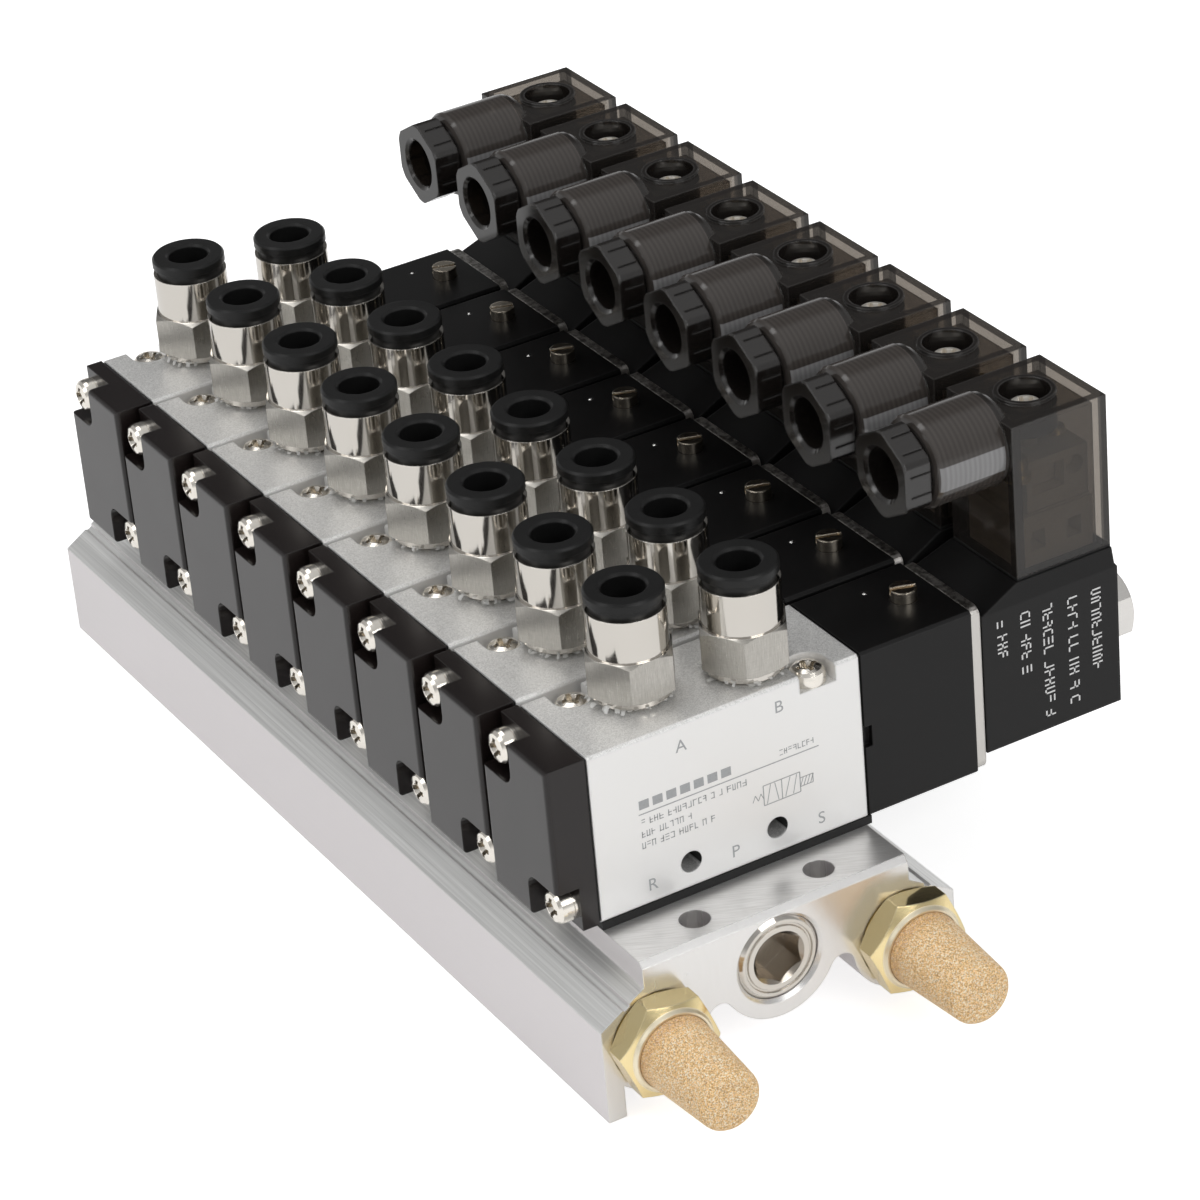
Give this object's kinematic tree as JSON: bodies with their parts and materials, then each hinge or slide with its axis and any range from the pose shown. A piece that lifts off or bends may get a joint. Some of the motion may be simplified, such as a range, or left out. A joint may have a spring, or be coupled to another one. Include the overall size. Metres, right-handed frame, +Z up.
{
  "type": "pneumatic solenoid valve",
  "caption": "Bank of solenoid spool valves on an extruded manifold, which switches compressed air to push-in tube fittings and vents it through silencers.",
  "frame": {"origin": "under the middle of the whole bank's box, level with the feet of the manifold", "axes": "+X along each valve from its end cover to its coil, +Y along the row from the end with the silencers, +Z up"},
  "size_m": [0.1004, 0.1908, 0.0789],
  "materials": {
    "extrusion": "satin extrusion",
    "valve_aluminium": "fine blasted top, smooth sides",
    "cover_plastic": "satin black",
    "pilot_plastic": "satin black",
    "plate_steel": "plated steel",
    "coil_resin": "satin black",
    "tube_steel": "stainless steel",
    "nut_steel": "brushed nickel plate",
    "smoke_plastic": "smoke tinted, glossy",
    "insert_plastic": "black",
    "screw_steel": "nickel plated",
    "gland_plastic": "glossy near black",
    "nickel": "polished nickel plate",
    "seal_rubber": "black",
    "spring_steel": "spring wire",
    "silencer_brass": "polished",
    "sintered_bronze": "sintered grains",
    "spool_metal": "machined",
    "armature_iron": "machined",
    "button_brass": "satin, nickel plated",
    "ring_plastic": "matte black"
  },
  "bodies": {
    "base": {"manifold_block": "extrusion", "valve_bodies": "valve_aluminium", "end_covers": "cover_plastic", "pilot_bodies": "pilot_plastic", "coil_plates": "plate_steel", "coils": "coil_resin", "armature_tubes": "tube_steel", "coil_nuts": "nut_steel", "connector_housings": "smoke_plastic", "terminal_inserts": "insert_plastic", "connector_screws": "screw_steel", "gland_nuts": "gland_plastic", "fitting_bodies": "nickel", "cover_screws": "screw_steel", "mounting_screws": "screw_steel", "gaskets": "seal_rubber", "return_springs": "spring_steel", "silencer_bodies": "silencer_brass", "sintered_elements": "sintered_bronze", "port_plugs": "nickel"},
    "spool_1": {"spool_1": "spool_metal"},
    "spool_2": {"spool_2": "spool_metal"},
    "spool_3": {"spool_3": "spool_metal"},
    "spool_4": {"spool_4": "spool_metal"},
    "spool_5": {"spool_5": "spool_metal"},
    "spool_6": {"spool_6": "spool_metal"},
    "spool_7": {"spool_7": "spool_metal"},
    "spool_8": {"spool_8": "spool_metal"},
    "armature_1": {"armature_1": "armature_iron"},
    "armature_2": {"armature_2": "armature_iron"},
    "armature_3": {"armature_3": "armature_iron"},
    "armature_4": {"armature_4": "armature_iron"},
    "armature_5": {"armature_5": "armature_iron"},
    "armature_6": {"armature_6": "armature_iron"},
    "armature_7": {"armature_7": "armature_iron"},
    "armature_8": {"armature_8": "armature_iron"},
    "override_button_1": {"override_button_1": "button_brass"},
    "override_button_2": {"override_button_2": "button_brass"},
    "override_button_3": {"override_button_3": "button_brass"},
    "override_button_4": {"override_button_4": "button_brass"},
    "override_button_5": {"override_button_5": "button_brass"},
    "override_button_6": {"override_button_6": "button_brass"},
    "override_button_7": {"override_button_7": "button_brass"},
    "override_button_8": {"override_button_8": "button_brass"},
    "release_ring_a_1": {"release_ring_a_1": "ring_plastic"},
    "release_ring_a_2": {"release_ring_a_2": "ring_plastic"},
    "release_ring_a_3": {"release_ring_a_3": "ring_plastic"},
    "release_ring_a_4": {"release_ring_a_4": "ring_plastic"},
    "release_ring_a_5": {"release_ring_a_5": "ring_plastic"},
    "release_ring_a_6": {"release_ring_a_6": "ring_plastic"},
    "release_ring_a_7": {"release_ring_a_7": "ring_plastic"},
    "release_ring_a_8": {"release_ring_a_8": "ring_plastic"},
    "release_ring_b_1": {"release_ring_b_1": "ring_plastic"},
    "release_ring_b_2": {"release_ring_b_2": "ring_plastic"},
    "release_ring_b_3": {"release_ring_b_3": "ring_plastic"},
    "release_ring_b_4": {"release_ring_b_4": "ring_plastic"},
    "release_ring_b_5": {"release_ring_b_5": "ring_plastic"},
    "release_ring_b_6": {"release_ring_b_6": "ring_plastic"},
    "release_ring_b_7": {"release_ring_b_7": "ring_plastic"},
    "release_ring_b_8": {"release_ring_b_8": "ring_plastic"}
  },
  "joints": [
    {"name": "spool_slide_1", "type": "slide", "parent": "base", "child": "spool_1", "axis": [-1, 0, 0], "range_m": [0, 0.0044], "stiffness_N_per_m": 800, "springref_m": -0.004, "deforming": ["return_springs"]},
    {"name": "spool_slide_2", "type": "slide", "parent": "base", "child": "spool_2", "axis": [-1, 0, 0], "range_m": [0, 0.0044], "stiffness_N_per_m": 800, "springref_m": -0.004, "deforming": ["return_springs"]},
    {"name": "spool_slide_3", "type": "slide", "parent": "base", "child": "spool_3", "axis": [-1, 0, 0], "range_m": [0, 0.0044], "stiffness_N_per_m": 800, "springref_m": -0.004, "deforming": ["return_springs"]},
    {"name": "spool_slide_4", "type": "slide", "parent": "base", "child": "spool_4", "axis": [-1, 0, 0], "range_m": [0, 0.0044], "stiffness_N_per_m": 800, "springref_m": -0.004, "deforming": ["return_springs"]},
    {"name": "spool_slide_5", "type": "slide", "parent": "base", "child": "spool_5", "axis": [-1, 0, 0], "range_m": [0, 0.0044], "stiffness_N_per_m": 800, "springref_m": -0.004, "deforming": ["return_springs"]},
    {"name": "spool_slide_6", "type": "slide", "parent": "base", "child": "spool_6", "axis": [-1, 0, 0], "range_m": [0, 0.0044], "stiffness_N_per_m": 800, "springref_m": -0.004, "deforming": ["return_springs"]},
    {"name": "spool_slide_7", "type": "slide", "parent": "base", "child": "spool_7", "axis": [-1, 0, 0], "range_m": [0, 0.0044], "stiffness_N_per_m": 800, "springref_m": -0.004, "deforming": ["return_springs"]},
    {"name": "spool_slide_8", "type": "slide", "parent": "base", "child": "spool_8", "axis": [-1, 0, 0], "range_m": [0, 0.0044], "stiffness_N_per_m": 800, "springref_m": -0.004, "deforming": ["return_springs"]},
    {"name": "armature_slide_1", "type": "slide", "parent": "base", "child": "armature_1", "axis": [1, 0, 0], "range_m": [0, 0.0009], "stiffness_N_per_m": 700, "springref_m": -0.003, "deforming": ["return_springs"]},
    {"name": "armature_slide_2", "type": "slide", "parent": "base", "child": "armature_2", "axis": [1, 0, 0], "range_m": [0, 0.0009], "stiffness_N_per_m": 700, "springref_m": -0.003, "deforming": ["return_springs"]},
    {"name": "armature_slide_3", "type": "slide", "parent": "base", "child": "armature_3", "axis": [1, 0, 0], "range_m": [0, 0.0009], "stiffness_N_per_m": 700, "springref_m": -0.003, "deforming": ["return_springs"]},
    {"name": "armature_slide_4", "type": "slide", "parent": "base", "child": "armature_4", "axis": [1, 0, 0], "range_m": [0, 0.0009], "stiffness_N_per_m": 700, "springref_m": -0.003, "deforming": ["return_springs"]},
    {"name": "armature_slide_5", "type": "slide", "parent": "base", "child": "armature_5", "axis": [1, 0, 0], "range_m": [0, 0.0009], "stiffness_N_per_m": 700, "springref_m": -0.003, "deforming": ["return_springs"]},
    {"name": "armature_slide_6", "type": "slide", "parent": "base", "child": "armature_6", "axis": [1, 0, 0], "range_m": [0, 0.0009], "stiffness_N_per_m": 700, "springref_m": -0.003, "deforming": ["return_springs"]},
    {"name": "armature_slide_7", "type": "slide", "parent": "base", "child": "armature_7", "axis": [1, 0, 0], "range_m": [0, 0.0009], "stiffness_N_per_m": 700, "springref_m": -0.003, "deforming": ["return_springs"]},
    {"name": "armature_slide_8", "type": "slide", "parent": "base", "child": "armature_8", "axis": [1, 0, 0], "range_m": [0, 0.0009], "stiffness_N_per_m": 700, "springref_m": -0.003, "deforming": ["return_springs"]},
    {"name": "override_button_slide_1", "type": "slide", "parent": "base", "child": "override_button_1", "axis": [0, 0, -1], "range_m": [0, 0.0012], "stiffness_N_per_m": 600, "springref_m": -0.002},
    {"name": "override_button_slide_2", "type": "slide", "parent": "base", "child": "override_button_2", "axis": [0, 0, -1], "range_m": [0, 0.0012], "stiffness_N_per_m": 600, "springref_m": -0.002},
    {"name": "override_button_slide_3", "type": "slide", "parent": "base", "child": "override_button_3", "axis": [0, 0, -1], "range_m": [0, 0.0012], "stiffness_N_per_m": 600, "springref_m": -0.002},
    {"name": "override_button_slide_4", "type": "slide", "parent": "base", "child": "override_button_4", "axis": [0, 0, -1], "range_m": [0, 0.0012], "stiffness_N_per_m": 600, "springref_m": -0.002},
    {"name": "override_button_slide_5", "type": "slide", "parent": "base", "child": "override_button_5", "axis": [0, 0, -1], "range_m": [0, 0.0012], "stiffness_N_per_m": 600, "springref_m": -0.002},
    {"name": "override_button_slide_6", "type": "slide", "parent": "base", "child": "override_button_6", "axis": [0, 0, -1], "range_m": [0, 0.0012], "stiffness_N_per_m": 600, "springref_m": -0.002},
    {"name": "override_button_slide_7", "type": "slide", "parent": "base", "child": "override_button_7", "axis": [0, 0, -1], "range_m": [0, 0.0012], "stiffness_N_per_m": 600, "springref_m": -0.002},
    {"name": "override_button_slide_8", "type": "slide", "parent": "base", "child": "override_button_8", "axis": [0, 0, -1], "range_m": [0, 0.0012], "stiffness_N_per_m": 600, "springref_m": -0.002},
    {"name": "release_ring_a_slide_1", "type": "slide", "parent": "base", "child": "release_ring_a_1", "axis": [0, 0, -1], "range_m": [0, 0.0012], "stiffness_N_per_m": 500, "springref_m": -0.001},
    {"name": "release_ring_a_slide_2", "type": "slide", "parent": "base", "child": "release_ring_a_2", "axis": [0, 0, -1], "range_m": [0, 0.0012], "stiffness_N_per_m": 500, "springref_m": -0.001},
    {"name": "release_ring_a_slide_3", "type": "slide", "parent": "base", "child": "release_ring_a_3", "axis": [0, 0, -1], "range_m": [0, 0.0012], "stiffness_N_per_m": 500, "springref_m": -0.001},
    {"name": "release_ring_a_slide_4", "type": "slide", "parent": "base", "child": "release_ring_a_4", "axis": [0, 0, -1], "range_m": [0, 0.0012], "stiffness_N_per_m": 500, "springref_m": -0.001},
    {"name": "release_ring_a_slide_5", "type": "slide", "parent": "base", "child": "release_ring_a_5", "axis": [0, 0, -1], "range_m": [0, 0.0012], "stiffness_N_per_m": 500, "springref_m": -0.001},
    {"name": "release_ring_a_slide_6", "type": "slide", "parent": "base", "child": "release_ring_a_6", "axis": [0, 0, -1], "range_m": [0, 0.0012], "stiffness_N_per_m": 500, "springref_m": -0.001},
    {"name": "release_ring_a_slide_7", "type": "slide", "parent": "base", "child": "release_ring_a_7", "axis": [0, 0, -1], "range_m": [0, 0.0012], "stiffness_N_per_m": 500, "springref_m": -0.001},
    {"name": "release_ring_a_slide_8", "type": "slide", "parent": "base", "child": "release_ring_a_8", "axis": [0, 0, -1], "range_m": [0, 0.0012], "stiffness_N_per_m": 500, "springref_m": -0.001},
    {"name": "release_ring_b_slide_1", "type": "slide", "parent": "base", "child": "release_ring_b_1", "axis": [0, 0, -1], "range_m": [0, 0.0012], "stiffness_N_per_m": 500, "springref_m": -0.001},
    {"name": "release_ring_b_slide_2", "type": "slide", "parent": "base", "child": "release_ring_b_2", "axis": [0, 0, -1], "range_m": [0, 0.0012], "stiffness_N_per_m": 500, "springref_m": -0.001},
    {"name": "release_ring_b_slide_3", "type": "slide", "parent": "base", "child": "release_ring_b_3", "axis": [0, 0, -1], "range_m": [0, 0.0012], "stiffness_N_per_m": 500, "springref_m": -0.001},
    {"name": "release_ring_b_slide_4", "type": "slide", "parent": "base", "child": "release_ring_b_4", "axis": [0, 0, -1], "range_m": [0, 0.0012], "stiffness_N_per_m": 500, "springref_m": -0.001},
    {"name": "release_ring_b_slide_5", "type": "slide", "parent": "base", "child": "release_ring_b_5", "axis": [0, 0, -1], "range_m": [0, 0.0012], "stiffness_N_per_m": 500, "springref_m": -0.001},
    {"name": "release_ring_b_slide_6", "type": "slide", "parent": "base", "child": "release_ring_b_6", "axis": [0, 0, -1], "range_m": [0, 0.0012], "stiffness_N_per_m": 500, "springref_m": -0.001},
    {"name": "release_ring_b_slide_7", "type": "slide", "parent": "base", "child": "release_ring_b_7", "axis": [0, 0, -1], "range_m": [0, 0.0012], "stiffness_N_per_m": 500, "springref_m": -0.001},
    {"name": "release_ring_b_slide_8", "type": "slide", "parent": "base", "child": "release_ring_b_8", "axis": [0, 0, -1], "range_m": [0, 0.0012], "stiffness_N_per_m": 500, "springref_m": -0.001}
  ]
}
